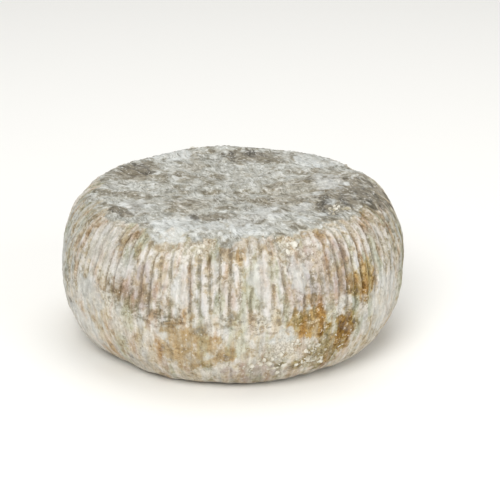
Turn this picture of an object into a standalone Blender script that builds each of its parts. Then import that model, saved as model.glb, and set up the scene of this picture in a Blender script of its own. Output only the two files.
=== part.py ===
# A whole wheel of aged cheese with a ribbed rind, as one solid.
# Metres, +Z up. It stands on its flat base, with the origin at the middle of that base.

import math

import bmesh
import bpy

# Driving dimensions of the wheel
BELLY_RADIUS = 0.105  # widest, over the rib crests
BELLY_HEIGHT = 0.0455  # height of the widest line
HEIGHT = 0.092
BASE_RADIUS = 0.0775  # flat face that it rests on
TOP_RADIUS = 0.0755  # flat upper face
BASE_ROUNDNESS = 2.0  # superellipse power from the base to the belly: 2 is a plain ellipse
TOP_ROUNDNESS = 2.25  # and from the belly to the upper face
RINGS = 6  # steps of the outline on each side of the belly

# The drainage basket's slats leave one rib each
RIB_COUNT = 108
RIB_DEPTH = 0.0009  # crest to groove, where the ribs are deepest
RIB_FADE_LOW = 0.006  # the ribs start here
RIB_FULL_LOW = 0.044
RIB_FULL_HIGH = 0.080
RIB_FADE_HIGH = 0.0915  # and end just under the upper face

RIND_COLOUR = (0.50, 0.46, 0.38, 1.0)
RIND_ROUGHNESS = 0.85


def side_outline():
    """Points (radius, height) from the rim of the base, round the belly, to the rim of the upper face."""
    below, above = [], []
    for step in range(RINGS + 1):
        angle = math.pi / 2 * step / RINGS
        along, across = math.sin(angle), math.cos(angle)
        below.append((
            BASE_RADIUS + (BELLY_RADIUS - BASE_RADIUS) * along ** (2 / BASE_ROUNDNESS),
            BELLY_HEIGHT * (1 - across ** (2 / BASE_ROUNDNESS)),
        ))
        above.append((
            TOP_RADIUS + (BELLY_RADIUS - TOP_RADIUS) * across ** (2 / TOP_ROUNDNESS),
            BELLY_HEIGHT + (HEIGHT - BELLY_HEIGHT) * along ** (2 / TOP_ROUNDNESS),
        ))
    return below + above[1:]


def smooth_step(value, start, end):
    share = min(1.0, max(0.0, (value - start) / (end - start)))
    return share * share * (3 - 2 * share)


def rib_strength(height):
    """0 where the rind is smooth, 1 where the ribs are deepest."""
    rise = smooth_step(height, RIB_FADE_LOW, RIB_FULL_LOW)
    fall = smooth_step(height, RIB_FULL_HIGH, RIB_FADE_HIGH)
    return rise * (1 - fall)


def turn_outline(mesh):
    """Spins the outline once round the vertical axis, two steps to a rib, and closes both faces."""
    points = [mesh.verts.new((radius, 0.0, height)) for radius, height in side_outline()]
    edges = [mesh.edges.new(pair) for pair in zip(points, points[1:])]
    bmesh.ops.spin(
        mesh, geom=points + edges, axis=(0, 0, 1), cent=(0, 0, 0), angle=2 * math.pi,
        steps=2 * RIB_COUNT, use_merge=True,
    )
    open_edges = [edge for edge in mesh.edges if edge.is_boundary]
    bmesh.ops.holes_fill(mesh, edges=open_edges, sides=2 * RIB_COUNT)


def press_ribs(mesh):
    """Sinks every other column of points, which leaves a crest between each pair of grooves."""
    for vert in mesh.verts:
        angle = math.atan2(vert.co.y, vert.co.x)
        column = round(angle / (math.pi / RIB_COUNT))
        if column % 2 == 0:
            radius = math.hypot(vert.co.x, vert.co.y)
            sunk = RIB_DEPTH * rib_strength(vert.co.z)
            vert.co.x *= (radius - sunk) / radius
            vert.co.y *= (radius - sunk) / radius


def rind_material():
    material = bpy.data.materials.new("rind")
    material.use_nodes = True
    shader = material.node_tree.nodes["Principled BSDF"]
    shader.inputs["Base Color"].default_value = RIND_COLOUR
    shader.inputs["Roughness"].default_value = RIND_ROUGHNESS
    shader.inputs["Metallic"].default_value = 0.0
    return material


def cheese_wheel():
    mesh = bmesh.new()
    turn_outline(mesh)
    press_ribs(mesh)
    bmesh.ops.recalc_face_normals(mesh, faces=mesh.faces)
    data = bpy.data.meshes.new("cheese_wheel")
    mesh.to_mesh(data)
    mesh.free()
    data.materials.append(rind_material())
    wheel = bpy.data.objects.new("cheese_wheel", data)
    bpy.context.scene.collection.objects.link(wheel)
    data.shade_smooth()
    data.set_sharp_from_angle(angle=math.radians(40))
    return wheel


for old in list(bpy.data.objects):
    bpy.data.objects.remove(old)
cheese_wheel()
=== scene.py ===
import functools
import math

import bpy
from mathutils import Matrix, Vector


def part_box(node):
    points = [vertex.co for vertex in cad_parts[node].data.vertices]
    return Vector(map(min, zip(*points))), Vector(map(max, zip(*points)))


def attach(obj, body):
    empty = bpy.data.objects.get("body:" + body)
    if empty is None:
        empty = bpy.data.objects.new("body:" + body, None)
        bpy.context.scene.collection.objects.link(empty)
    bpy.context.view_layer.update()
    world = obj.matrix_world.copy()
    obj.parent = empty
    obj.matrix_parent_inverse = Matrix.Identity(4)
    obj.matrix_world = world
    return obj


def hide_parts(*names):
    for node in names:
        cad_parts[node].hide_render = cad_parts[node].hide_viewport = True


# A whole wheel of aged cheese. It drained in a slatted basket, which left the ribs, under a cloth,
# which left the fibres on its upper face. Metres, +Z up, the front is -Y.

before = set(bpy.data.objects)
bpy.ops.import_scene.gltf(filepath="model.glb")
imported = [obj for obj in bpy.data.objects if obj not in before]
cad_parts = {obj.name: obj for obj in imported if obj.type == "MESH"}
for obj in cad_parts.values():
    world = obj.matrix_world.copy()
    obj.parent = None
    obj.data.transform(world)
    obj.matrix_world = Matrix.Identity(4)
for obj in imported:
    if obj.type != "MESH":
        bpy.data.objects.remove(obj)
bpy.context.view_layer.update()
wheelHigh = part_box("cheese_wheel")[1]
mm = 0.001  # turns millimetres to metres


def addNode(tree, kind, *values, sockets=None, **settings):
    node = tree.nodes.new(kind)
    node.location = (200 * (len(tree.nodes) % 14), -260 * (len(tree.nodes) // 14))
    for name, value in settings.items():
        setattr(node, name, value)
    for socket, value in {**dict(enumerate(values)), **(sockets or {})}.items():
        if isinstance(value, bpy.types.Node):
            value = value.outputs[0]
        if isinstance(value, bpy.types.NodeSocket):
            tree.links.new(value, node.inputs[socket])
        elif value is not None:
            node.inputs[socket].default_value = value
    return node


def newTree(name, inputs, output, outputKind="NodeSocketGeometry"):
    tree = bpy.data.node_groups.new(name, "GeometryNodeTree")
    for label, value in inputs.items():
        kind = {int: "NodeSocketInt", float: "NodeSocketFloat"}.get(type(value), "NodeSocketGeometry")
        socket = tree.interface.new_socket(label, in_out="INPUT", socket_type=kind)
        if value is not None:
            socket.default_value = value
    tree.interface.new_socket(output, in_out="OUTPUT", socket_type=outputKind)
    return tree, functools.partial(addNode, tree)


def newMaterial(name):
    material = bpy.data.materials.new(name)
    material.use_nodes = True
    material.node_tree.nodes.clear()
    return material, functools.partial(addNode, material.node_tree)


def linearColour(hexText):
    channels = [int(hexText[place:place + 2], 16) / 255 for place in (1, 3, 5)]
    return tuple(c / 12.92 if c <= 0.04045 else ((c + 0.055) / 1.055) ** 2.4 for c in channels) + (1.0,)


wheelSettings = {
    # inputs of the wheel's tree
    "sizes": {
        "Belly Radius": wheelHigh.x,
        "Height": wheelHigh.z,
        "Belly Height": 45.5 * mm,
        "Base Radius": 77.5 * mm,
        "Top Radius": 75.5 * mm,
        "Base Roundness": 2.0,  # superellipse powers, 2 is a plain ellipse
        "Top Roundness": 2.25,
        "Rib Count": 108,
        "Steps per Rib": 8,
        "Base Rows": 26,
        "Side Rows": 88,
        "Top Rows": 54,
        "Top Spacing": 1.12 * mm,  # least width of a face towards the pole
        "Base Spacing": 2.2 * mm,
        "Rib Depth": 1.1 * mm,
        "Lump Height": 0.9 * mm,
        "Dent Depth": 0.4 * mm,
        "Grit Height": 0.18 * mm,
        "Crust Height": 1.35 * mm,
        "Seam Height": 0.4 * mm,
        "Fold Height": 0.4 * mm,
        "Sink Depth": 1.6 * mm,  # of the upper face's middle
        "Seed": 3.0,
    },
    # each groove and rib draws its own from these
    "grooveWidth": (0.22, 0.52),  # shares of half a rib
    "grooveDepth": (0.35, 1.0),
    "grooveEnd": (-4 * mm, 4 * mm),
    "crownHeight": (0.2 * mm, 0.7 * mm),
    "crownTone": (0.6, 0.95),
    "ribBreaks": (4 * mm, 4 * mm, 10 * mm),  # size of what breaks up ribs, longest up the rind
    "wornSize": 26 * mm,
    "gritSize": 2.6 * mm,
    "crustGrain": 3.6 * mm,
    "crustSink": 0.3 * mm,  # between its grains
    "seamBend": 16 * mm,
    "seamBreak": 17 * mm,
    "seamRise": (54 * mm, 61 * mm),  # the seam wanders between these
    "seamEdge": (0.3 * mm, 1.7 * mm),  # from its line, where it starts to fall and where it ends
    "creaseBelow": 2.1 * mm,
    "creaseEdge": (0.2 * mm, 1.4 * mm),
    "clothLip": (0.7 * mm, 0.1 * mm),  # how proud the cloth's edge stands, and the face behind it
    "lipFade": (111 * mm, 122 * mm),
    "foldSize": (22 * mm, 5 * mm, 8 * mm),
    "foldTurn": 62,  # degrees clockwise from +X
    "foldSway": (26 * mm, 16 * mm),  # size of the sway and how far it goes
    "baseHollow": 0.7 * mm,
    "hollowEdge": (-10 * mm, -3 * mm),
    # slow changes over the rind: size in mm, detail, roughness, then the range that they swing over
    "swings": {
        "ragged": (7, 4.0, 0.6, -0.5, 0.5),
        "wander": (55, 1.0, 0.5, -0.3, 0.3),
        "jitter": (9, 3.0, 0.5, -0.07, 0.07),
        "lump": (48, 1.5, 0.5, -1.0, 1.0),
        "dent": (11, 2.0, 0.5, -1.0, 1.0),
        "slump": (15, 3.0, 0.5, -1.5 * mm, 1.1 * mm),
        "hem": (17, 4.0, 0.55, -8 * mm, 8 * mm),
    },
    # stretches along the rind: what is measured, from and to in mm, strength at each end
    "stretches": {
        "strongFoot": ("rib", 55, 66, 0.0, 1.0),
        "strongHead": ("rib", 105, 114, 1.0, 0.0),
        "faintFoot": ("rib", 8, 26, 0.0, 0.36),
        "foot": ("rind", 0, 16, 1.0, 0.0),
        "offBase": ("rind", -3, 3, 0.0, 1.0),
        "middle": ("rind", 125, 180, 0.0, 1.0),
        # the band under the cloth's lip, for brown mottles and painted shade under the lip
        "ledge": ("cloth", 99, 107, 0.0, 1.0),
        "onTop": ("cloth", 107, 111, 0.0, 1.0),
    },
    "mapPerMetre": 2.46,  # the wheel's flat map, in shares of its side
    "mapGap": 0.004,
    # stains, crusts and partly painted shade: degrees round from the front, then in mm the way along the
    # rind from the base's rim, width round the wheel and height along the rind
    "stains": {
        "ochre": [
            (47, 72, 25, 25), (25.5, 56, 27, 21), (38.5, 46, 15, 26), (148, 62, 22, 18), (-128, 84, 15, 22),
            (-160, 40, 24, 14),
        ],
        "tan": [
            (-13, 43, 42, 32), (-2, 40, 14, 16), (34, 104, 8, 18), (26, 70, 16, 8), (3.5, 97, 7, 20),
            (170, 84, 40, 22), (-100, 40, 30, 18),
        ],
        "olive": [
            (33, 37, 25, 36), (39, 46, 20, 28), (25, 27, 30, 12), (84, 66, 10, 40), (62, 116, 34, 20),
            (-125, 52, 30, 22), (150, 40, 34, 22),
        ],
        "earth": [
            (5, 106, 46, 16), (-42, 72, 24, 12), (-60, 100, 30, 14), (-22, 62, 30, 12), (46.5, 72, 22, 20),
            (74, 112, 34, 16), (60, 136, 60, 24), (22, 152, 46, 22), (-40, 140, 60, 24), (110, 50, 46, 26),
            (70, 98, 30, 22), (-14, 105, 30, 16), (5, 101, 26, 15), (-150, 66, 50, 26), (150, 140, 60, 26),
            (-110, 150, 70, 24),
        ],
        # brown mottles mixed with painted shadow, darkest on the upper face's right and along the rim
        "umber": [
            (88, 116, 76, 48), (68, 128, 70, 34), (-12, 140, 50, 18), (-56, 117, 36, 9), (170, 132, 60, 30),
            (-120, 126, 50, 24),
        ],
        "bloom": [
            (-25.5, 121, 44, 32), (7.5, 121, 42, 20), (-9, 126, 34, 16), (16, 50, 24, 10), (49, 124, 11, 7),
            (66, 132, 16, 9), (80, 142, 20, 8), (96, 126, 12, 7), (37, 128, 16, 8), (135, 122, 44, 26),
            (-150, 119, 38, 24),
        ],
        "haze": [
            (61, 54, 34, 40), (-38, 84, 18, 14), (-16, 80, 12, 26), (9.5, 84, 14, 24), (-62, 34, 50, 34),
            (22, 84, 12, 22), (-48, 92, 30, 26), (-52, 62, 30, 22), (5, 133, 36, 24), (22, 144, 50, 26),
            (48, 140, 40, 12), (-60, 130, 40, 20), (100, 136, 60, 20), (-80, 64, 30, 40), (170, 58, 40, 26),
            (110, 30, 50, 30), (-130, 30, 60, 24),
        ],
        "crust": [
            (-11.5, 104, 22, 15), (31, 36, 30, 22), (20, 104, 16, 12), (16, 44, 24, 18), (128, 100, 40, 16),
            (-110, 62, 36, 22), (-170, 106, 30, 14),
        ],
        "grime": [
            (-46, 96, 44, 30), (-30, 68, 50, 14), (62, 98, 34, 28), (118, 84, 50, 40), (-140, 92, 60, 30),
        ],
        # grey-blue mould and painted shade, cooler and darker on the sides that turn away from the front
        "grey": [(-76, 84, 60, 90), (82, 90, 50, 80), (-150, 70, 60, 60)],
        "mauve": [
            (30, 84, 52, 44), (8, 22, 40, 22), (-30, 76, 30, 26), (130, 84, 60, 40), (-110, 90, 40, 30),
        ],
        "wrinkled": [
            (9, 59, 30, 12), (-20, 60, 24, 9), (38, 60, 22, 10), (150, 58, 34, 12), (-100, 60, 30, 12),
        ],
    },
    # the same for wear: ribs rubbed pale or worn smooth, and places where crumbs sit
    "wear": {
        "rubbed": [(-3, 84, 66, 40), (165, 82, 70, 40), (-95, 80, 50, 36)],
        "smooth": [
            (-46, 57, 56, 22), (15, 55, 36, 12), (-26, 102, 20, 10), (25, 95, 34, 20), (-158, 60, 60, 20),
            (102, 58, 50, 18), (-120, 98, 40, 20), (146, 96, 30, 18),
        ],
        "crumbly": [
            (22, 40, 26, 18), (15, 31, 36, 18), (27, 30, 24, 12), (41, 34, 12, 20), (-11.5, 102, 18, 9),
            (21, 104, 16, 12), (56, 122, 30, 12), (128, 98, 40, 18), (-110, 60, 36, 22),
            (-168, 104, 34, 14), (160, 34, 40, 22),
        ],
    },
}
eased = {"interpolation_type": "SMOOTHSTEP"}  # for a ramp that starts and ends gently


def patchGroup():
    numbers = ("Turn", "Rise", "Ragged", "Radius", "Centre Turn", "Centre Rise", "Half Width", "Half Height")
    tree, add = newTree("rindPatch", dict.fromkeys(numbers, 0.0), "Mask", "NodeSocketFloat")
    given = add("NodeGroupInput").outputs
    apart = add("ShaderNodeMath", given["Turn"], given["Centre Turn"], operation="SUBTRACT")
    apart = add("ShaderNodeMath", apart, math.pi, -math.pi, operation="WRAP")
    apart = add("ShaderNodeMath", apart, given["Radius"], operation="MULTIPLY")
    apart = add("ShaderNodeMath", apart, given["Half Width"], operation="DIVIDE")
    above = add("ShaderNodeMath", given["Rise"], given["Centre Rise"], operation="SUBTRACT")
    above = add("ShaderNodeMath", above, given["Half Height"], operation="DIVIDE")
    away = add("ShaderNodeCombineXYZ", apart, above)
    away = add("ShaderNodeVectorMath", away, operation="LENGTH")
    away = add("ShaderNodeMath", away.outputs["Value"], given["Ragged"], operation="ADD")
    mask = add("ShaderNodeMapRange", away, 1.2, 0.7, 0.0, 1.0, **eased)
    add("NodeGroupOutput", mask)
    return tree


def swayed(add, place, size, reach):
    sway = add("ShaderNodeTexNoise", place, sockets={"Scale": 1 / size, "Detail": 2.0})
    sway = add("ShaderNodeVectorMath", sway.outputs["Color"], (0.5, 0.5, 0.5), operation="SUBTRACT")
    sway = add("ShaderNodeVectorMath", sway, sockets={"Scale": reach}, operation="SCALE")
    return add("ShaderNodeVectorMath", place, sway, operation="ADD")


def standOnTable(add, body):
    place = add("ShaderNodeSeparateXYZ", add("GeometryNodeInputPosition"))
    lowest = add("ShaderNodeMath", place.outputs["Z"], 0.0, operation="MAXIMUM")
    place = add("ShaderNodeCombineXYZ", place, place.outputs["Y"], lowest)
    return add("GeometryNodeSetPosition", body, None, place)


def wheelTree(rind):
    plan = wheelSettings
    tree, add = newTree("ribbedWheel", plan["sizes"], "Wheel")
    given = add("NodeGroupInput").outputs
    belly, height = given["Belly Radius"], given["Height"]

    # Outline of the side, from the base's rim to the top's rim
    line = add("GeometryNodeCurvePrimitiveLine")
    points = add("GeometryNodeResampleCurve", line, sockets={"Count": 400})
    along = add("GeometryNodeSplineParameter")
    halfTurn = add("ShaderNodeMath", along, math.pi, operation="MULTIPLY")
    outward = add("ShaderNodeMath", halfTurn, operation="SINE")
    upward = add("ShaderNodeMath", add("ShaderNodeMath", halfTurn, operation="COSINE"), operation="ABSOLUTE")
    upper = add("ShaderNodeMath", along, 0.5, operation="GREATER_THAN")
    upperSpan = add("ShaderNodeMath", height, given["Belly Height"], operation="SUBTRACT")
    lowerSpan = add("ShaderNodeMath", given["Belly Height"], -1.0, operation="MULTIPLY")
    faceRadius = add("ShaderNodeMix", upper, None, given["Base Radius"], given["Top Radius"])
    roundness = add("ShaderNodeMix", upper, None, given["Base Roundness"], given["Top Roundness"])
    span = add("ShaderNodeMix", upper, None, lowerSpan, upperSpan)
    power = add("ShaderNodeMath", 2.0, roundness, operation="DIVIDE")
    outward = add("ShaderNodeMath", outward, power, operation="POWER")
    upward = add("ShaderNodeMath", upward, power, operation="POWER")
    outlineRadius = add("ShaderNodeMix", outward, None, faceRadius, belly)
    outlineHeight = add("ShaderNodeMath", span, upward, given["Belly Height"], operation="MULTIPLY_ADD")
    outlinePoint = add("ShaderNodeCombineXYZ", outlineRadius, 0.0, outlineHeight)
    outline = add("GeometryNodeSetPosition", points, None, outlinePoint)
    sideLength = add("GeometryNodeCurveLength", outline)

    # A flat grid is wrapped round that outline: base rows, side rows, then top rows
    baseRows, sideRows, topRows = given["Base Rows"], given["Side Rows"], given["Top Rows"]
    columns = add("ShaderNodeMath", given["Rib Count"], given["Steps per Rib"], operation="MULTIPLY")
    topStart = add("ShaderNodeMath", baseRows, sideRows, operation="ADD")
    rows = add("ShaderNodeMath", topStart, topRows, operation="ADD")
    gridColumns = add("ShaderNodeMath", columns, 1.0, operation="ADD")
    gridRows = add("ShaderNodeMath", rows, 1.0, operation="ADD")
    grid = add("GeometryNodeMeshGrid", 1.0, 1.0, gridColumns, gridRows)
    flat = add("ShaderNodeSeparateXYZ", add("GeometryNodeInputPosition"))
    column = add("ShaderNodeMapRange", flat, -0.5, 0.5, 0.0, columns)
    column = add("ShaderNodeMath", column, operation="ROUND")
    row = add("ShaderNodeMapRange", flat.outputs["Y"], -0.5, 0.5, 0.0, rows)
    row = add("ShaderNodeMath", row, operation="ROUND")
    baseShare = add("ShaderNodeMapRange", row, 0.0, baseRows, 0.0, 1.0)
    sideShare = add("ShaderNodeMapRange", row, baseRows, topStart, 0.0, 1.0)
    topShare = add("ShaderNodeMapRange", row, topStart, rows, 1.0, 0.0)
    sample = add("GeometryNodeSampleCurve", outline, sockets={"Factor": sideShare}, mode="FACTOR",
                 use_all_curves=True)
    samplePoint = add("ShaderNodeSeparateXYZ", sample.outputs["Position"])
    radius = add("ShaderNodeMath", samplePoint, baseShare, operation="MULTIPLY")
    radius = add("ShaderNodeMath", radius, topShare, operation="MULTIPLY")

    # Columns thin out by halves towards both poles, so that faces keep their size
    onBase = add("ShaderNodeMath", row, baseRows, operation="LESS_THAN")
    spacing = add("ShaderNodeMix", onBase, None, given["Top Spacing"], given["Base Spacing"])
    girth = add("ShaderNodeMath", radius, 0.01 * mm, operation="MAXIMUM")
    girth = add("ShaderNodeMath", girth, 2 * math.pi, operation="MULTIPLY")
    crowding = add("ShaderNodeMath", columns, spacing, operation="MULTIPLY")
    crowding = add("ShaderNodeMath", crowding, girth, operation="DIVIDE")
    halvings = add("ShaderNodeMath", crowding, 2.0, operation="LOGARITHM")
    halvings = add("ShaderNodeMath", halvings, operation="FLOOR")
    halvings = add("ShaderNodeClamp", halvings, 0.0, 5.0)
    stride = add("ShaderNodeMath", 2.0, halvings, operation="POWER")
    column = add("ShaderNodeMath", column, stride, operation="SNAP")
    angle = add("ShaderNodeMapRange", column, 0.0, columns, -math.pi, math.pi)
    sideways = add("ShaderNodeMath", add("ShaderNodeMath", angle, operation="SINE"), radius,
                   operation="MULTIPLY")
    forward = add("ShaderNodeMath", add("ShaderNodeMath", angle, operation="COSINE"), radius,
                  operation="MULTIPLY")
    forward = add("ShaderNodeMath", forward, -1.0, operation="MULTIPLY")
    turned = add("ShaderNodeCombineXYZ", sideways, forward, samplePoint.outputs["Z"])

    # Rise is the way along the rind from the base's rim, below 0 on the base itself
    rise = add("ShaderNodeMath", sideShare, sideLength, operation="MULTIPLY")
    inOnTop = add("ShaderNodeMath", 1.0, topShare, operation="SUBTRACT")
    rise = add("ShaderNodeMath", inOnTop, given["Top Radius"], rise, operation="MULTIPLY_ADD")
    inOnBase = add("ShaderNodeMath", baseShare, 1.0, operation="SUBTRACT")
    rise = add("ShaderNodeMath", inOnBase, given["Base Radius"], rise, operation="MULTIPLY_ADD")
    body = add("GeometryNodeStoreNamedAttribute", grid, None, "rise", rise)

    # A flat map: the front and back halves of the side as two strips, with both faces above them
    mapScale, mapGap = plan["mapPerMetre"], plan["mapGap"]
    faceRow = add("GeometryNodeFieldOnDomain", row, domain="FACE")
    faceAngle = add("GeometryNodeFieldOnDomain", angle, domain="FACE")
    aroundFace = add("ShaderNodeMath", faceAngle, operation="COSINE")
    isBack = add("ShaderNodeMath", aroundFace, 0.0, operation="LESS_THAN")
    fromSplit = add("ShaderNodeMath", angle, math.pi / 2, operation="ADD")
    halfWay = add("ShaderNodeMath", isBack, -math.pi, fromSplit, operation="MULTIPLY_ADD")
    beforeSplit = add("ShaderNodeMath", halfWay, -0.01, operation="LESS_THAN")
    halfWay = add("ShaderNodeMath", beforeSplit, 2 * math.pi, halfWay, operation="MULTIPLY_ADD")
    sideAcross = add("ShaderNodeMath", halfWay, belly, operation="MULTIPLY")
    sideAcross = add("ShaderNodeMath", sideAcross, mapScale, mapGap, operation="MULTIPLY_ADD")
    stripHeight = add("ShaderNodeMath", sideLength, mapScale, mapGap, operation="MULTIPLY_ADD")
    stripFoot = add("ShaderNodeMath", isBack, stripHeight, mapGap, operation="MULTIPLY_ADD")
    sideUp = add("ShaderNodeMath", rise, mapScale, stripFoot, operation="MULTIPLY_ADD")
    faceHalf = add("ShaderNodeMath", given["Base Radius"], mapScale, mapGap, operation="MULTIPLY_ADD")
    isBase = add("ShaderNodeMath", faceRow, baseRows, operation="LESS_THAN")
    isTop = add("ShaderNodeMath", faceRow, topStart, operation="GREATER_THAN")
    isFlat = add("ShaderNodeMath", isBase, isTop, operation="ADD")
    discMiddle = add("ShaderNodeMath", isTop, 2.0, 1.0, operation="MULTIPLY_ADD")
    discMiddle = add("ShaderNodeMath", discMiddle, faceHalf, operation="MULTIPLY")
    discAcross = add("ShaderNodeMath", sideways, mapScale, discMiddle, operation="MULTIPLY_ADD")
    discFloor = add("ShaderNodeMath", stripHeight, 2.0, faceHalf, operation="MULTIPLY_ADD")
    facing = add("ShaderNodeMath", isTop, 2.0, -1.0, operation="MULTIPLY_ADD")
    discUp = add("ShaderNodeMath", forward, facing, operation="MULTIPLY")
    discUp = add("ShaderNodeMath", discUp, mapScale, discFloor, operation="MULTIPLY_ADD")
    mapAcross = add("ShaderNodeMix", isFlat, None, sideAcross, discAcross)
    mapUp = add("ShaderNodeMix", isFlat, None, sideUp, discUp)
    mapPlace = add("ShaderNodeCombineXYZ", mapAcross, mapUp)
    body = add("GeometryNodeStoreNamedAttribute", body, None, "OFBake", mapPlace,
               data_type="FLOAT2", domain="CORNER")
    body = add("GeometryNodeSetPosition", body, None, turned)
    body = add("GeometryNodeMergeByDistance", body, sockets={"Distance": 0.02 * mm})

    # Coordinates on the rind: a cylinder of the belly's radius, with the rise as its height
    rise = add("GeometryNodeInputNamedAttribute", "rise").outputs["Attribute"]
    position = add("GeometryNodeInputPosition")
    place = add("ShaderNodeSeparateXYZ", position)
    front = add("ShaderNodeMath", place.outputs["Y"], -1.0, operation="MULTIPLY")
    turn = add("ShaderNodeMath", place, front, operation="ARCTAN2")
    level = add("ShaderNodeVectorMath", position, (1.0, 1.0, 0.0), operation="MULTIPLY")
    level = add("ShaderNodeVectorMath", level, operation="NORMALIZE")
    level = add("ShaderNodeVectorMath", level, sockets={"Scale": belly}, operation="SCALE")
    rindPlace = add("ShaderNodeCombineXYZ", 0.0, 0.0, rise)
    rindPlace = add("ShaderNodeVectorMath", level, rindPlace, operation="ADD")
    shift = add("ShaderNodeVectorMath", (0.31, 0.17, 0.53), sockets={"Scale": given["Seed"]},
                operation="SCALE")
    seeded = add("ShaderNodeVectorMath", rindPlace, shift, operation="ADD")
    solidSeeded = add("ShaderNodeVectorMath", position, shift, operation="ADD")

    noiseSpan = (0.3, 0.7)  # nearly all that a noise gives
    swings = {}
    for name, (size, detail, roughness, low, high) in plan["swings"].items():
        swing = add("ShaderNodeTexNoise", seeded, sockets={
            "Scale": 1 / (size * mm), "Detail": detail, "Roughness": roughness})
        swings[name] = add("ShaderNodeMapRange", swing, *noiseSpan, low, high, clamp=False)

    # Patches of stain, bloom, crust and wear, and of painted shade
    group = patchGroup()
    masks = {}
    for kind, patches in {**plan["stains"], **plan["wear"]}.items():
        mask = None
        for centreTurn, centreRise, width, tall in patches:
            patch = add("GeometryNodeGroup", sockets={
                "Turn": turn, "Rise": rise, "Ragged": swings["ragged"], "Radius": belly,
                "Centre Turn": math.radians(centreTurn), "Centre Rise": centreRise * mm,
                "Half Width": width / 2 * mm, "Half Height": tall / 2 * mm,
            }, node_tree=group)
            mask = patch if mask is None else add("ShaderNodeMath", mask, patch, operation="MAXIMUM")
        masks[kind] = mask

    # Ribs: the groove between two ribs lies wherever ribPlace is a whole number
    ribPlace = add("ShaderNodeMath", turn, 2 * math.pi, operation="DIVIDE")
    ribPlace = add("ShaderNodeMath", ribPlace, given["Rib Count"], swings["wander"], operation="MULTIPLY_ADD")
    ribPlace = add("ShaderNodeMath", ribPlace, swings["jitter"], operation="ADD")
    grooveNumber = add("ShaderNodeMath", ribPlace, operation="ROUND")
    fromGroove = add("ShaderNodeMath", ribPlace, grooveNumber, operation="SUBTRACT")
    fromGroove = add("ShaderNodeMath", fromGroove, operation="ABSOLUTE")
    fromGroove = add("ShaderNodeMath", fromGroove, 2.0, operation="MULTIPLY")
    ribNumber = add("ShaderNodeMath", ribPlace, operation="FLOOR")
    lucks = []
    for number in (grooveNumber, ribNumber):
        number = add("ShaderNodeMath", number, given["Rib Count"], operation="FLOORED_MODULO")
        number = add("ShaderNodeMath", number, given["Seed"], operation="ADD")
        lucks.append(add("ShaderNodeTexWhiteNoise", sockets={"W": number}, noise_dimensions="1D"))
    grooveLuck, ribLuck = lucks
    grooveParts = add("ShaderNodeSeparateXYZ", grooveLuck.outputs["Color"])
    grooveWidth = add("ShaderNodeMapRange", grooveParts.outputs["X"], 0.0, 1.0, *plan["grooveWidth"])
    grooveCore = add("ShaderNodeMath", grooveWidth, 0.25, operation="MULTIPLY")
    groove = add("ShaderNodeMapRange", fromGroove, grooveCore, grooveWidth, 1.0, 0.0, **eased)

    # Ribs start and end at uneven heights and are faint below the belly, and the cloth's edge wavers
    uneven = add("ShaderNodeMapRange", grooveParts.outputs["Y"], 0.0, 1.0, *plan["grooveEnd"])
    measures = {
        "rind": rise,
        "rib": add("ShaderNodeMath", rise, uneven, operation="ADD"),
        "cloth": add("ShaderNodeMath", rise, swings["hem"], operation="ADD"),
    }
    stretches = {}
    for name, (measure, start, end, low, high) in plan["stretches"].items():
        stretches[name] = add("ShaderNodeMapRange", measures[measure], start * mm, end * mm, low, high,
                              **eased)
    ribZone = add("ShaderNodeMath", stretches["strongFoot"], stretches["faintFoot"], operation="MAXIMUM")
    ribZone = add("ShaderNodeMath", ribZone, stretches["strongHead"], operation="MULTIPLY")
    stretched = add("ShaderNodeVectorMath", seeded, plan["ribBreaks"], operation="DIVIDE")
    broken = add("ShaderNodeTexNoise", stretched, sockets={"Scale": 1.0, "Detail": 2.0, "Roughness": 0.6})
    broken = add("ShaderNodeMath", masks["grime"], -0.02, broken, operation="MULTIPLY_ADD")
    broken = add("ShaderNodeMapRange", broken, 0.36, 0.54, 0.42, 1.0, **eased)
    worn = add("ShaderNodeTexNoise", seeded, sockets={"Scale": 1 / plan["wornSize"], "Detail": 3.0})
    worn = add("ShaderNodeMapRange", worn, 0.6, 0.7, 0.0, 0.5, **eased)
    worn = add("ShaderNodeMath", worn, masks["crust"], operation="MAXIMUM")
    smooth = add("ShaderNodeMath", masks["smooth"], 0.75, operation="MULTIPLY")
    worn = add("ShaderNodeMath", worn, smooth, operation="MAXIMUM")
    kept = add("ShaderNodeMath", 1.0, worn, operation="SUBTRACT")
    ribZone = add("ShaderNodeMath", ribZone, kept, operation="MULTIPLY")
    groove = add("ShaderNodeMath", groove, broken, operation="MULTIPLY")
    filled = add("ShaderNodeMapRange", grooveParts.outputs["Z"], 0.1, 0.8, *plan["grooveDepth"])
    groove = add("ShaderNodeMath", groove, filled, operation="MULTIPLY")
    groove = add("ShaderNodeMath", groove, ribZone, operation="MULTIPLY")
    crown = add("ShaderNodeMapRange", fromGroove, 0.16, 0.56, 0.0, 1.0, **eased)
    crown = add("ShaderNodeMath", crown, ribZone, operation="MULTIPLY")
    rubbed = add("ShaderNodeMapRange", ribLuck.outputs["Color"], 0.2, 0.8, *plan["crownTone"])
    rubbed = add("ShaderNodeMath", masks["rubbed"], 0.15, rubbed, operation="MULTIPLY_ADD")
    chipped = add("ShaderNodeTexNoise", stretched, sockets={"Scale": 1.4, "Detail": 3.0, "Roughness": 0.6})
    chipped = add("ShaderNodeMapRange", chipped, 0.38, 0.56, 0.35, 1.0, **eased)
    crownTone = add("ShaderNodeMath", crown, rubbed, operation="MULTIPLY")
    crownTone = add("ShaderNodeMath", crownTone, chipped, operation="MULTIPLY")
    crownHeight = add("ShaderNodeMapRange", ribLuck, 0.0, 1.0, *plan["crownHeight"])

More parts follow.
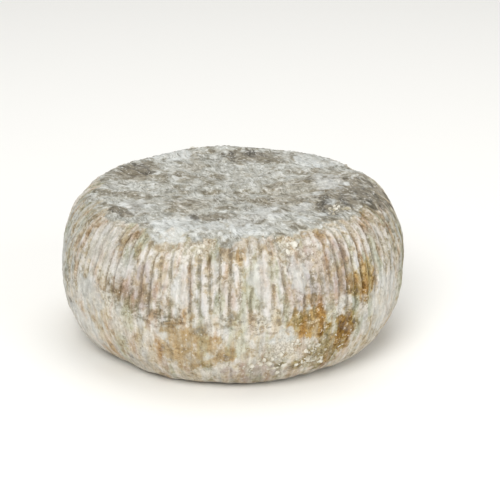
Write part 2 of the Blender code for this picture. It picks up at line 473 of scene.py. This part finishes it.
    # Grit everywhere and coarse grains on the crusts
    grit = add("ShaderNodeTexNoise", solidSeeded, sockets={
        "Scale": 1 / plan["gritSize"], "Detail": 2.0, "Roughness": 0.6})
    grit = add("ShaderNodeMapRange", grit, *noiseSpan, -1.0, 1.0, clamp=False)
    grains = add("ShaderNodeTexVoronoi", solidSeeded, sockets={"Scale": 1 / plan["crustGrain"]})
    grains = add("ShaderNodeMapRange", grains.outputs["Distance"], 0.0, 0.6,
                 given["Crust Height"], -plan["crustSink"])

    # The seam of the basket: a thin broken ridge round the belly, with a crease under it
    seamLine = add("ShaderNodeTexNoise", level, sockets={"Scale": 1 / plan["seamBend"], "Detail": 4.0})
    seamLine = add("ShaderNodeMapRange", seamLine, *noiseSpan, *plan["seamRise"], clamp=False)
    fromSeam = add("ShaderNodeMath", rise, seamLine, operation="SUBTRACT")
    seam = add("ShaderNodeMath", fromSeam, operation="ABSOLUTE")
    seam = add("ShaderNodeMapRange", seam, *plan["seamEdge"], 1.0, 0.0, **eased)
    crease = add("ShaderNodeMath", fromSeam, plan["creaseBelow"], operation="ADD")
    crease = add("ShaderNodeMath", crease, operation="ABSOLUTE")
    crease = add("ShaderNodeMapRange", crease, *plan["creaseEdge"], 0.65, 0.0, **eased)
    seamKept = add("ShaderNodeTexNoise", seeded, sockets={"Scale": 1 / plan["seamBreak"], "Detail": 3.0})
    seamKept = add("ShaderNodeMapRange", seamKept, 0.5, 0.6, 0.0, 1.0, **eased)
    seam = add("ShaderNodeMath", seam, seamKept, operation="MULTIPLY")
    seamKept = add("ShaderNodeMath", seamKept, masks["wrinkled"], operation="MAXIMUM")
    crease = add("ShaderNodeMath", crease, seamKept, operation="MULTIPLY")
    grooveTone = add("ShaderNodeMath", groove, crease, operation="MAXIMUM")
    seamShape = add("ShaderNodeMath", seam, crease, operation="SUBTRACT")

    # The upper face: the cloth's edge stands a little proud of the ribs, and its folds run slantwise
    onTop = stretches["onTop"]
    lip = add("ShaderNodeMapRange", measures["cloth"], *plan["lipFade"], *plan["clothLip"])
    offTop = add("ShaderNodeMath", 1.0, onTop, operation="SUBTRACT")
    # the band under the lip gets brown mottles and painted shade in the colour
    ledge = add("ShaderNodeMath", stretches["ledge"], offTop, operation="MULTIPLY")
    slant = add("ShaderNodeVectorRotate", swayed(add, solidSeeded, *plan["foldSway"]), sockets={
        "Angle": math.radians(plan["foldTurn"])}, rotation_type="Z_AXIS")
    slant = add("ShaderNodeVectorMath", slant, plan["foldSize"], operation="DIVIDE")
    fold = add("ShaderNodeTexNoise", slant, sockets={"Scale": 1.0, "Detail": 3.0, "Roughness": 0.6})
    fold = add("ShaderNodeMapRange", fold, 0.32, 0.68, -1.0, 1.0, clamp=False)
    foldHeight = add("ShaderNodeMath", onTop, given["Fold Height"], operation="MULTIPLY")

    # Relief along the normal: each mask times its height. The foot is uneven where the fresh cheese
    # slumped on the shelf
    grooveDrop = add("ShaderNodeMath", given["Rib Depth"], -1.0, operation="MULTIPLY")
    sinkDepth = add("ShaderNodeMath", given["Sink Depth"], -1.0, operation="MULTIPLY")
    relief = 0.0
    for mask, amount in (
        (swings["lump"], given["Lump Height"]), (swings["dent"], given["Dent Depth"]),
        (groove, grooveDrop), (crown, crownHeight), (grit, given["Grit Height"]),
        (masks["crust"], grains), (seamShape, given["Seam Height"]),
        (stretches["foot"], swings["slump"]), (onTop, lip), (fold, foldHeight),
        (stretches["middle"], sinkDepth),
    ):
        relief = add("ShaderNodeMath", mask, amount, relief, operation="MULTIPLY_ADD")

    # The base stays flat on the table: its relief only goes inwards
    relief = add("ShaderNodeMath", relief, stretches["offBase"], operation="MULTIPLY")
    onFoot = add("ShaderNodeMapRange", rise, *plan["hollowEdge"], 1.0, 0.0)
    hollow = add("ShaderNodeMapRange", fold, -1.125, 1.125, 0.0, -plan["baseHollow"])
    relief = add("ShaderNodeMath", onFoot, hollow, relief, operation="MULTIPLY_ADD")

    stored = {"groove": grooveTone, "crown": crownTone, "seam": seam, "top": onTop, "ledge": ledge,
              "crumbly": masks["crumbly"], **{kind: masks[kind] for kind in plan["stains"]}}
    for name, value in stored.items():
        body = add("GeometryNodeStoreNamedAttribute", body, None, name, value)
    body = add("GeometryNodeStoreNamedAttribute", body, None, "rindPlace", rindPlace,
               data_type="FLOAT_VECTOR")
    push = add("ShaderNodeVectorMath", add("GeometryNodeInputNormal"), sockets={"Scale": relief},
               operation="SCALE")
    body = add("GeometryNodeSetPosition", body, sockets={"Offset": push})
    body = standOnTable(add, body)
    body = add("GeometryNodeSetShadeSmooth", body, None, True)
    body = add("GeometryNodeRealizeInstances", body)
    body = add("GeometryNodeSetMaterial", body, None, rind)
    add("NodeGroupOutput", body)
    return tree


def grow(name, tree, settings, startMesh=None):
    carrier = bpy.data.objects.new(name + "Carrier", startMesh or bpy.data.meshes.new(name + "Start"))
    bpy.context.collection.objects.link(carrier)
    modifier = carrier.modifiers.new("grow", "NODES")
    modifier.node_group = tree
    for item in tree.interface.items_tree:
        if item.in_out == "INPUT" and item.name in settings:
            modifier[item.identifier] = settings[item.name]
    evaluated = carrier.evaluated_get(bpy.context.evaluated_depsgraph_get())
    mesh = bpy.data.meshes.new_from_object(evaluated)
    carrier.modifiers.clear()
    bpy.data.objects.remove(carrier)
    mesh.name = name
    piece = bpy.data.objects.new(name, mesh)
    bpy.context.collection.objects.link(piece)
    print(name, "has", sum(len(face.vertices) - 2 for face in mesh.polygons), "triangles")
    return piece


# Dry natural rind, aged and rubbed by hand: chalky and matt, pale on the ribs where it is rubbed,
# brown-grey in the grooves where mould stays, greenish grey under the cloth marks on top.
# Real grains are 0.2 to 0.4 mm across, and the fine pattern is drawn coarser so that it shows
rindLook = {
    # pattern: size in mm, detail, roughness, distortion
    "patterns": {
        "fine": (1.1, 2.0, 0.6, 0.0),
        "middle": (2.8, 3.0, 0.6, 0.0),
        "blotch": (6.0, 3.0, 0.6, 0.0),
        "broad": (13.0, 4.0, 0.6, 0.0),
        "drift": (32.0, 3.0, 0.5, 0.0),
        "speck": (2.3, 2.0, 0.6, 0.0),
        "streak": (2.0, 3.0, 0.65, 0.0),
        "wrinkle": (2.2, 4.0, 0.7, 1.2),
        "tint": (5.5, 2.0, 0.5, 0.0),
        "shade": (8.0, 2.0, 0.5, 0.0),
        "fibre": (2.4, 4.0, 0.7, 0.8),
        "fold": (4.6, 3.0, 0.6, 0.6),
        "strand": (1.6, 3.0, 0.65, 0.9),
    },
    "streakLength": 4.5,  # times its width
    "wrinkleLength": 2.6,
    "fibreLength": 3.2,
    "fibreTurn": 62.0,  # degrees clockwise from +X
    "fibreSway": (30 * mm, 22 * mm),
    "footEdge": (50 * mm, 66 * mm),  # the dustier foot fades out between these
    "rimRise": 118 * mm,
    "rimEdge": (4 * mm, 16 * mm),
    "groundTone": (0.44, 0.56),
    "ground": ("#9A9383", "#BCB6A8", "#D5D1C6"),
    "ways": {"coat": "MIX", "stain": "MULTIPLY"},
    # each layer: mask, the pattern that breaks up its edge and how far, where it starts and is full, how
    # strong it is, the pattern that runs its colour and over what range, dark, light, way it is laid on
    "layers": [
        ("foot",     "broad",    2.0, 0.35, 0.75,  0.6, "streak",  0.4,  0.6, "#BDB4A7", "#E0DBD1", "coat"),
        ("all",      "blotch",   6.0,  1.3,  1.9,  0.4, "middle", 0.42,  0.6, "#8F8575", "#B0A696", "coat"),
        ("all",      "blotch",  -6.0,  1.3,  1.9,  0.5, "middle", 0.42,  0.6, "#CDC7BD", "#E0DDD6", "coat"),
        ("grime",    "middle",   4.0,  0.4,  1.6,  0.4, "fine",   0.42,  0.6, "#8A8071", "#B0A696", "coat"),
        ("open",     "speck",    5.0,  1.4, 1.85,  0.5, "fine",    0.4,  0.6, "#6F6658", "#908675", "coat"),
        ("groove",   "middle",   2.2, 0.05, 0.95, 0.75, "fine",    0.4,  0.6, "#72685B", "#978C7D", "coat"),
        ("crown",    "middle",   1.4,  0.1,  0.9, 0.74, "streak", 0.36,  0.6, "#C4BEB7", "#DAD6D3", "coat"),
        # under the cloth's lip: brown mottles and painted shade
        ("ledge",    "middle",   3.6,  0.3,  1.4,  0.6, "fine",    0.4,  0.6, "#8A7D69", "#B1A48D", "coat"),
        ("all",      "tint",     6.0,  1.1,  1.7,  0.8, "broad",   0.4,  0.6, "#F0E6E4", "#F8F2F1", "stain"),
        ("all",      "tint",    -6.0,  1.1,  1.7,  0.8, "broad",   0.4,  0.6, "#E5EAEF", "#F2F5F8", "stain"),
        ("all",      "shade",    6.0, 1.15,  1.8,  0.8, "broad",   0.4,  0.6, "#F3E9D4", "#FAF4E8", "stain"),
        ("all",      "shade",   -6.0, 1.15,  1.8,  0.8, "broad",   0.4,  0.6, "#DDE2CE", "#EEF1E6", "stain"),
        ("mauve",    "broad",    2.0,  0.1,  1.1,  1.0, "blotch", 0.42,  0.6, "#E6DEDE", "#F2EDEC", "stain"),
        ("crust",    "middle",   2.6,  0.3,  0.9,  0.6, "fine",    0.4,  0.6, "#A19684", "#D6CFC0", "coat"),
        ("earth",    "blotch",   4.4,  0.3,  1.4, 0.75, "middle", 0.42, 0.58, "#CEC1AE", "#EAE2D5", "stain"),
        ("tan",      "blotch",   3.4,  0.0,  1.3,  1.0, "streak",  0.4,  0.6, "#E2CDA6", "#F2E8D4", "stain"),
        ("tan",      "streak",   4.5,  0.7,  1.5, 0.55, "fine",    0.4,  0.6, "#CFAE76", "#E6CFA2", "stain"),
        ("olive",    "blotch",   3.0,  0.1,  1.2,  1.0, "middle", 0.42, 0.58, "#B0A57A", "#D4CBA6", "stain"),
        ("ochre",    "blotch",   4.0, -0.2,  1.2, 0.95, "middle",  0.4,  0.6, "#E2CD96", "#F0E1BA", "stain"),
        ("ochre",    "tint",     4.0, 0.15,  1.4, 0.85, "fine",    0.4,  0.6, "#D8B468", "#F0D498", "stain"),
        ("ochre",    "streak",   5.0,  0.9,  1.8,  0.3, "fine",    0.4,  0.6, "#A2854A", "#CBAE70", "stain"),
        ("ochre",    "speck",   -6.0,  1.3,  1.9,  0.3, "fine",    0.4,  0.6, "#B99B62", "#DCC48C", "coat"),
        # partly grey-blue mould, partly painted shade on the sides
        ("grey",     "broad",    2.0,  0.1,  1.3,  1.0, "blotch", 0.42,  0.6, "#DCE0DF", "#EEF0EE", "stain"),
        ("top",      "middle",   1.6,  0.2,  0.9,  0.9, "blotch", 0.38, 0.62, "#858378", "#BCBBB2", "coat"),
        ("top",      "broad",    4.5, 0.75,  1.3,  0.9, "fibre",  0.38,  0.6, "#6E6C61", "#CBCCC6", "coat"),
        ("top",      "fold",     6.0,  1.2, 1.75, 0.55, "fine",    0.4,  0.6, "#65635A", "#8E8C80", "coat"),
        ("top",      "broad",   -5.5,  1.0,  1.6,  0.9, "middle",  0.4,  0.6, "#ABA08C", "#D2CABA", "stain"),
        ("top",      "shade",    6.0,  1.2,  1.7,  0.5, "middle",  0.4,  0.6, "#8D8A7E", "#BDBAAE", "coat"),
        ("top",      "blotch",   5.5,  1.2,  1.8, 0.65, "fibre",   0.4,  0.6, "#B0B1AA", "#DBDCD8", "coat"),
        ("top",      "drift",    5.0,  1.1,  1.5,  0.8, "middle",  0.4,  0.6, "#DAD2C6", "#EFEAE2", "stain"),
        ("rim",      "blotch",   6.0,  1.0,  1.9, 0.45, "fine",   0.38, 0.56, "#BDBEB8", "#D8D9D4", "coat"),
        # dark brown mottles and painted shadow
        ("umber",    "broad",    3.2, 0.15, 1.05,  0.9, "fold",   0.38, 0.62, "#3A3429", "#8B826F", "coat"),
        ("haze",     "blotch",   3.0,  0.1,  1.4,  0.6, "streak", 0.38, 0.62, "#BDBFBD", "#DCDEDC", "coat"),
        ("bloom",    "fold",     3.2,  0.1,  1.6, 0.85, "fibre",  0.36, 0.64, "#AFB2AF", "#DDE0DE", "coat"),
        ("top",      "strand",   5.0, 1.25,  1.8, 0.55, "fine",    0.4,  0.6, "#C6C6BD", "#E0E0DA", "coat"),
        ("top",      "strand",  -5.0, 1.25,  1.8,  0.6, "fine",    0.4,  0.6, "#5C594D", "#7D7A6C", "coat"),
        ("grime",    "blotch",   2.4,  0.3,  1.4,  0.7, "fine",    0.4,  0.6, "#D8D1C4", "#EFEBE2", "stain"),
        ("wrinkled", "wrinkle",  4.5,  1.1,  1.5,  0.7, "fine",    0.4,  0.6, "#615D52", "#868173", "coat"),
        ("wrinkled", "wrinkle", -4.5, 1.15,  1.8,  0.5, "fine",    0.4,  0.6, "#CBC7BF", "#E4E2DE", "coat"),
        ("seam",     "fine",     1.6,  0.3,  1.0,  0.3, "fine",    0.4,  0.6, "#C9BFAF", "#E2DCD2", "coat"),
        ("all",      "speck",   -5.0,  1.5,  2.0, 0.45, "fine",    0.4,  0.6, "#D9D5CC", "#E9E6E0", "coat"),
    ],
    "bump": {"fine": 0.45, "middle": 1.0, "fibre": 0.6, "groove": -0.25, "crust": -0.8},  # in mm
    "crustGrain": 1.6 * mm,
    "roughness": (0.8, 0.96),
    "sheen": 0.04,
}


def rindMaterial():
    look = rindLook
    material, add = newMaterial("naturalRind")
    solid = add("ShaderNodeTexCoord").outputs["Object"]
    rindPlace = add("ShaderNodeAttribute", attribute_name="rindPlace").outputs["Vector"]
    rise = add("ShaderNodeAttribute", attribute_name="rise").outputs["Fac"]

    # Patterns. Streaks run up the rind, and fibres slant across the upper face
    places = dict.fromkeys(look["patterns"], solid)
    places["streak"] = add("ShaderNodeVectorMath", rindPlace, (1.0, 1.0, 1 / look["streakLength"]),
                           operation="MULTIPLY")
    levelStretch = 1 / look["wrinkleLength"]
    places["wrinkle"] = add("ShaderNodeVectorMath", rindPlace, (levelStretch, levelStretch, 1.0),
                            operation="MULTIPLY")
    slant = add("ShaderNodeVectorRotate", swayed(add, solid, *look["fibreSway"]), sockets={
        "Angle": math.radians(look["fibreTurn"])}, rotation_type="Z_AXIS")
    places["fibre"] = add("ShaderNodeVectorMath", slant, (1 / look["fibreLength"], 1.0, 0.5),
                          operation="MULTIPLY")
    places["strand"] = places["fold"] = places["fibre"]
    places["tint"] = places["shade"] = add("ShaderNodeVectorMath", rindPlace, (1.0, 1.0, 0.3),
                                           operation="MULTIPLY")
    patterns = {}  # the number moves each one's noise, so that no two are alike
    for number, (name, (size, detail, roughness, distortion)) in enumerate(look["patterns"].items()):
        patterns[name] = add("ShaderNodeTexNoise", places[name], number * 7.3, sockets={
            "Scale": 1 / (size * mm), "Detail": detail, "Roughness": roughness,
            "Distortion": distortion}, noise_dimensions="4D")

    masks = {
        name: add("ShaderNodeAttribute", attribute_name=name).outputs["Fac"]
        for name in ("groove", "crown", "seam", "top", "ledge", *wheelSettings["stains"])
    }
    masks["all"] = 1.0
    masks["foot"] = add("ShaderNodeMapRange", rise, *look["footEdge"], 1.0, 0.0)
    masks["open"] = add("ShaderNodeMath", 1.0, masks["crown"], operation="SUBTRACT")
    fromRim = add("ShaderNodeMath", rise, look["rimRise"], operation="SUBTRACT")
    fromRim = add("ShaderNodeMath", fromRim, operation="ABSOLUTE")
    masks["rim"] = add("ShaderNodeMapRange", fromRim, *look["rimEdge"], 1.0, 0.0)

    # Ground tone, from dull to pale
    tone = add("ShaderNodeMath", patterns["middle"], 0.5, operation="MULTIPLY")
    tone = add("ShaderNodeMath", patterns["broad"], 0.25, tone, operation="MULTIPLY_ADD")
    tone = add("ShaderNodeMath", patterns["fine"], 0.25, tone, operation="MULTIPLY_ADD")
    tone = add("ShaderNodeMapRange", tone, *look["groundTone"], 0.0, 1.0)
    ramp = add("ShaderNodeValToRGB", tone)
    ramp.color_ramp.elements.new(0.5)
    for stop, hexText in zip(ramp.color_ramp.elements, look["ground"]):
        stop.color = linearColour(hexText)
    colour = ramp.outputs["Color"]

    strengths = {}  # of the first layer on each mask, for the bump
    for mask, grain, ragged, start, full, strength, tone, low, high, dark, light, way in look["layers"]:
        shift = add("ShaderNodeMath", patterns[grain], 0.5, operation="SUBTRACT")
        shift = add("ShaderNodeMath", shift, ragged, masks[mask], operation="MULTIPLY_ADD")
        factor = add("ShaderNodeMapRange", shift, start, full, 0.0, strength, **eased)
        lightness = add("ShaderNodeMapRange", patterns[tone], low, high, 0.0, 1.0)
        paint = add("ShaderNodeMix", lightness, data_type="RGBA", sockets={
            6: linearColour(dark), 7: linearColour(light)})
        colour = add("ShaderNodeMix", factor, data_type="RGBA", blend_type=look["ways"][way],
                     sockets={6: colour, 7: paint.outputs[2]}).outputs[2]
        strengths.setdefault(mask, factor)

    # Relief too fine for the mesh
    fibreHeight = add("ShaderNodeMath", patterns["fibre"], strengths["top"], operation="MULTIPLY")
    grains = add("ShaderNodeTexVoronoi", solid, sockets={"Scale": 1 / look["crustGrain"]})
    grainHeight = add("ShaderNodeMath", grains, strengths["crust"], operation="MULTIPLY")
    heights = {"fine": patterns["fine"], "middle": patterns["middle"], "fibre": fibreHeight,
               "groove": strengths["groove"], "crust": grainHeight}
    height = 0.0
    for name, depth in look["bump"].items():
        height = add("ShaderNodeMath", heights[name], depth, height, operation="MULTIPLY_ADD")
    bump = add("ShaderNodeBump", sockets={"Height": height, "Distance": 1 * mm, "Strength": 0.85})

    rough = add("ShaderNodeMapRange", patterns["middle"], 0.3, 0.7, *look["roughness"])
    shader = add("ShaderNodeBsdfPrincipled", sockets={
        "Base Color": colour, "Roughness": rough, "Normal": bump, "IOR": 1.45,
        "Specular IOR Level": 0.2, "Sheen Weight": look["sheen"], "Sheen Roughness": 0.6,
    })
    add("ShaderNodeOutputMaterial", shader)
    return material


rind = rindMaterial()
wheel = grow("ribbed_cheese_wheel", wheelTree(rind), wheelSettings["sizes"])
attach(wheel, "root")
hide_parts("cheese_wheel")
print("wheel grown")


# Crumbs of dried mould and curd that stick to the rind, thickest round the stains
crumbSettings = {
    # inputs of the crumbs' tree
    "sizes": {
        "Thickest": 130000.0,  # crumbs per square metre
        "Thinnest": 500.0,
        "Smallest": 0.4 * mm,  # radius
        "Largest": 2.1 * mm,
        "Flatness": 0.7,
        "Seed": 11,
    },
    "clumpSize": 7 * mm,
    "clearOfBase": 4 * mm,
    "shapes": ((0.6, 0.6, 0.6), (1.4, 1.4, 1.4)),  # least and most stretched
    "dentSize": 0.8 * mm,
    "dentDepth": 1.8 * mm,
}


def crumbTree(crumb):
    tree, add = newTree("rindCrumbs", {"Rind": None, **crumbSettings["sizes"]}, "Crumbs")
    given = add("NodeGroupInput").outputs

    crumbly = add("GeometryNodeInputNamedAttribute", "crumbly").outputs["Attribute"]
    rise = add("GeometryNodeInputNamedAttribute", "rise").outputs["Attribute"]
    density = add("ShaderNodeMapRange", crumbly, 0.1, 1.0, given["Thinnest"], given["Thickest"], **eased)
    clumps = add("ShaderNodeTexNoise", sockets={"Scale": 1 / crumbSettings["clumpSize"], "Detail": 2.0})
    clumps = add("ShaderNodeMapRange", clumps, 0.45, 0.58, 0.1, 2.5)
    density = add("ShaderNodeMath", density, clumps, operation="MULTIPLY")
    offBase = add("ShaderNodeMath", rise, crumbSettings["clearOfBase"], operation="GREATER_THAN")
    density = add("ShaderNodeMath", density, offBase, operation="MULTIPLY")
    spots = add("GeometryNodeDistributePointsOnFaces", given["Rind"], sockets={
        "Density": density, "Seed": given["Seed"]})
    luck = add("FunctionNodeRandomValue", sockets={"Seed": given["Seed"]}, data_type="FLOAT")
    luck = add("ShaderNodeMath", luck.outputs[1], 3.0, operation="POWER")
    luck = add("ShaderNodeMath", luck, crumbly, operation="MULTIPLY")
    radius = add("ShaderNodeMapRange", luck, 0.0, 1.0, given["Smallest"], given["Largest"])
    shapeSeed = add("ShaderNodeMath", given["Seed"], 1.0, operation="ADD")
    shape = add("FunctionNodeRandomValue", *crumbSettings["shapes"], sockets={"Seed": shapeSeed},
                data_type="FLOAT_VECTOR")
    size = add("ShaderNodeVectorMath", shape, sockets={"Scale": radius}, operation="SCALE")
    flatness = add("ShaderNodeCombineXYZ", 1.0, 1.0, given["Flatness"])
    size = add("ShaderNodeVectorMath", size, flatness, operation="MULTIPLY")

    # Each crumb has its own square of the flat map
    index = add("GeometryNodeInputIndex")
    marked = add("GeometryNodeStoreNamedAttribute", spots, None, "number", index)
    lump = add("GeometryNodeMeshIcoSphere", 1.0, 1)
    lump = add("GeometryNodeStoreNamedAttribute", lump, None, "flat", add("GeometryNodeInputPosition"),
               data_type="FLOAT_VECTOR")
    crumbs = add("GeometryNodeInstanceOnPoints", marked, None, lump, sockets={
        "Rotation": spots.outputs["Rotation"], "Scale": size})
    crumbs = add("GeometryNodeRealizeInstances", crumbs)
    number = add("GeometryNodeInputNamedAttribute", "number").outputs["Attribute"]
    squares = add("GeometryNodeAttributeStatistic", crumbs, None, number)
    squares = add("ShaderNodeMath", squares.outputs["Max"], 1.0, operation="ADD")
    squares = add("ShaderNodeMath", squares, operation="SQRT")
    squares = add("ShaderNodeMath", squares, operation="CEIL")
    square = add("ShaderNodeMath", number, squares, operation="DIVIDE")
    level = add("ShaderNodeMath", square, operation="FLOOR")
    across = add("ShaderNodeMath", number, squares, operation="MODULO")
    corner = add("ShaderNodeCombineXYZ", across, level)
    flat = add("GeometryNodeInputNamedAttribute", "flat", data_type="FLOAT_VECTOR").outputs["Attribute"]
    flat = add("ShaderNodeVectorMath", flat, (0.42, 0.42, 0.0), (0.5, 0.5, 0.0), operation="MULTIPLY_ADD")
    flat = add("ShaderNodeVectorMath", flat, corner, operation="ADD")
    share = add("ShaderNodeMath", 1.0, squares, operation="DIVIDE")
    flat = add("ShaderNodeVectorMath", flat, sockets={"Scale": share}, operation="SCALE")
    crumbs = add("GeometryNodeStoreNamedAttribute", crumbs, None, "OFBake", flat,
                 data_type="FLOAT2", domain="CORNER")

    dents = add("ShaderNodeTexNoise", sockets={"Scale": 1 / crumbSettings["dentSize"], "Detail": 2.0})
    dents = add("ShaderNodeVectorMath", dents.outputs["Color"], (0.5, 0.5, 0.5), operation="SUBTRACT")
    dents = add("ShaderNodeVectorMath", dents, sockets={"Scale": crumbSettings["dentDepth"]},
                operation="SCALE")
    crumbs = add("GeometryNodeSetPosition", crumbs, sockets={"Offset": dents})
    crumbs = standOnTable(add, crumbs)
    crumbs = add("GeometryNodeSetShadeSmooth", crumbs, None, False)
    crumbs = add("GeometryNodeRealizeInstances", crumbs)
    crumbs = add("GeometryNodeSetMaterial", crumbs, None, crumb)
    add("NodeGroupOutput", crumbs)
    return tree


# Dried curd and mould in crumbs: matt and chalky, from cream to nearly white.
# One hue runs over a few crumbs, and the bump is grit of about 0.3 mm
crumbLook = {
    "colours": ("#A39B84", "#C5BFB0", "#DBD8CD"),
    "patch": 4.0,  # mm
    "grit": 0.3,
    "roughness": 0.9,
}


def crumbMaterial():
    look = crumbLook
    material, add = newMaterial("driedCurd")
    solid = add("ShaderNodeTexCoord").outputs["Object"]
    patch = add("ShaderNodeTexNoise", solid, sockets={"Scale": 1 / (look["patch"] * mm), "Detail": 3.0})
    hue = add("ShaderNodeMapRange", patch, 0.36, 0.62, 0.0, 1.0)
    ramp = add("ShaderNodeValToRGB", hue)
    ramp.color_ramp.elements.new(0.5)
    for stop, hexText in zip(ramp.color_ramp.elements, look["colours"]):
        stop.color = linearColour(hexText)
    grit = add("ShaderNodeTexNoise", solid, sockets={"Scale": 1 / (look["grit"] * mm), "Detail": 2.0})
    bump = add("ShaderNodeBump", sockets={"Height": grit, "Distance": 0.2 * mm, "Strength": 0.7})
    shader = add("ShaderNodeBsdfPrincipled", sockets={
        "Base Color": ramp, "Roughness": look["roughness"], "Normal": bump, "IOR": 1.45,
        "Specular IOR Level": 0.25,
    })
    add("ShaderNodeOutputMaterial", shader)
    return material


crumbs = grow("rind_crumbs", crumbTree(crumbMaterial()), crumbSettings["sizes"], wheel.data.copy())
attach(crumbs, "root")
print("crumbs scattered")


# Plain pale table and soft studio light
studio = {
    "floor": "#F1F0EC",
    "floorReach": 6.0,
    "world": "#FFFFFF",
    "worldStrength": 0.5,
    "aim": (0, 0, 0.05),
    # each light: place, width and watts
    "lights": {
        "keyLight": ((-0.5, -1.4, 1.5), 1.2, 26),
        "fillLight": ((1.3, -1.0, 0.7), 1.4, 9),
        "topLight": ((0.1, 0.4, 1.8), 1.6, 12),
    },
}


def softLight(name, place, size, power):
    light = bpy.data.lights.new(name, "AREA")
    light.shape = "DISK"
    light.size = size
    light.energy = power
    lamp = bpy.data.objects.new(name, light)
    lamp.location = place
    lamp.rotation_euler = (Vector(studio["aim"]) - Vector(place)).to_track_quat("-Z", "Y").to_euler()
    bpy.context.collection.objects.link(lamp)


def studioFloor():
    mesh = bpy.data.meshes.new("table")
    far = studio["floorReach"]
    corners = [(-far, -far, 0), (far, -far, 0), (far, far, 0), (-far, far, 0)]
    mesh.from_pydata(corners, [], [(0, 1, 2, 3)])
    floor = bpy.data.objects.new("table", mesh)
    bpy.context.collection.objects.link(floor)
    paint = bpy.data.materials.new("paleTable")
    paint.use_nodes = True
    shader = paint.node_tree.nodes["Principled BSDF"]
    shader.inputs["Base Color"].default_value = linearColour(studio["floor"])
    shader.inputs["Roughness"].default_value = 0.9
    mesh.materials.append(paint)
    return floor


studioFloor()
for name, light in studio["lights"].items():
    softLight(name, *light)
world = bpy.data.worlds.new("studioWorld")
world.use_nodes = True
background = world.node_tree.nodes["Background"]
background.inputs["Color"].default_value = linearColour(studio["world"])
background.inputs["Strength"].default_value = studio["worldStrength"]
bpy.context.scene.world = world
bpy.context.scene.view_settings.view_transform = "Standard"
print("studio lit")

# The camera looks down a little, from about a metre away
view = {
    "aim": (10.5 * mm, 0.0, 51.5 * mm),
    "distance": 1.05,
    "elevation": 21.0,
    "lens": 122.5,
}
camera = bpy.data.objects.new("camera", bpy.data.cameras.new("camera"))
camera.data.lens = view["lens"]
camera.data.sensor_width = 36.0
camera.data.clip_start = 0.05
tilt = math.radians(view["elevation"])
camera.location = Vector(view["aim"]) + view["distance"] * Vector((0, -math.cos(tilt), math.sin(tilt)))
camera.rotation_euler = (math.pi / 2 - tilt, 0, 0)
bpy.context.collection.objects.link(camera)
bpy.context.scene.camera = camera
